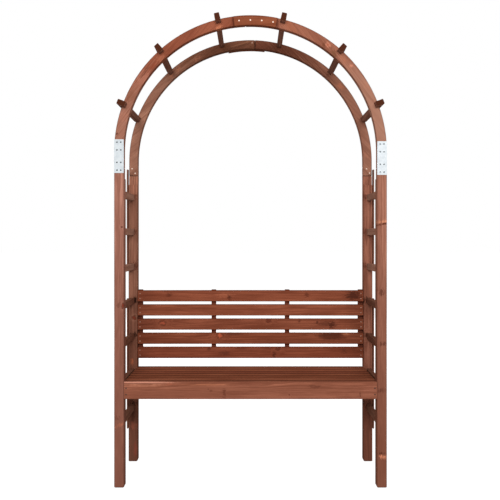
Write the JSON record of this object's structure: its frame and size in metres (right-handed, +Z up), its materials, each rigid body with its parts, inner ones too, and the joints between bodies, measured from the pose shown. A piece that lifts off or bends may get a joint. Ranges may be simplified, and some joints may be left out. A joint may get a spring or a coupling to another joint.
{
  "type": "arbour seat",
  "caption": "Round-topped wooden garden arch with rung sides, a slatted bench and a slatted back between its posts.",
  "frame": {"origin": "on the ground, in the middle of the footprint", "axes": "+Z up from the ground to the crown of the arches, +X to the right of a viewer who faces the seat, -Y out of the front of the seat"},
  "size_m": [1.16, 0.4, 2.0134],
  "materials": {
    "frame_wood": "planed fir with a thin red-brown stain",
    "batten_wood": "planed fir with a dark red-brown stain",
    "ladder_wood": "planed fir with a grey-brown stain",
    "seat_wood": "planed fir with a thin red-brown stain",
    "back_wood": "planed fir with a thin red-brown stain",
    "plate_steel": "punched sheet with a bright zinc coat"
  },
  "bodies": {
    "root": {"arch_batten_1": "batten_wood", "arch_batten_2": "batten_wood", "arch_batten_3": "batten_wood", "arch_batten_4": "batten_wood", "arch_batten_5": "batten_wood", "arch_batten_6": "batten_wood", "back_batten_1": "back_wood", "back_batten_2": "back_wood", "back_batten_3": "back_wood", "back_batten_4": "back_wood", "back_slat_1": "back_wood", "back_slat_2": "back_wood", "back_slat_3": "back_wood", "back_slat_4": "back_wood", "back_slat_5": "back_wood", "front_arch_left_half": "frame_wood", "front_arch_right_half": "frame_wood", "front_crown_splice": "frame_wood", "front_left_joint_plate": "plate_steel", "front_left_post": "frame_wood", "front_right_joint_plate": "plate_steel", "front_right_post": "frame_wood", "left_lower_front_lath": "ladder_wood", "left_lower_rear_lath": "ladder_wood", "left_lower_rung_1": "ladder_wood", "left_lower_rung_2": "ladder_wood", "left_lower_rung_3": "ladder_wood", "left_lower_rung_4": "ladder_wood", "left_upper_front_lath": "ladder_wood", "left_upper_rear_lath": "ladder_wood", "left_upper_rung_1": "ladder_wood", "left_upper_rung_2": "ladder_wood", "left_upper_rung_3": "ladder_wood", "rear_arch_left_half": "frame_wood", "rear_arch_right_half": "frame_wood", "rear_crown_splice": "frame_wood", "rear_left_joint_plate": "plate_steel", "rear_left_post": "frame_wood", "rear_right_joint_plate": "plate_steel", "rear_right_post": "frame_wood", "right_lower_front_lath": "ladder_wood", "right_lower_rear_lath": "ladder_wood", "right_lower_rung_1": "ladder_wood", "right_lower_rung_2": "ladder_wood", "right_lower_rung_3": "ladder_wood", "right_lower_rung_4": "ladder_wood", "right_upper_front_lath": "ladder_wood", "right_upper_rear_lath": "ladder_wood", "right_upper_rung_1": "ladder_wood", "right_upper_rung_2": "ladder_wood", "right_upper_rung_3": "ladder_wood", "seat_frame": "seat_wood", "seat_front_apron": "seat_wood", "seat_slat_1": "seat_wood", "seat_slat_2": "seat_wood", "seat_slat_3": "seat_wood", "seat_slat_4": "seat_wood", "seat_slat_5": "seat_wood", "seat_slat_6": "seat_wood"}
  },
  "joints": []
}
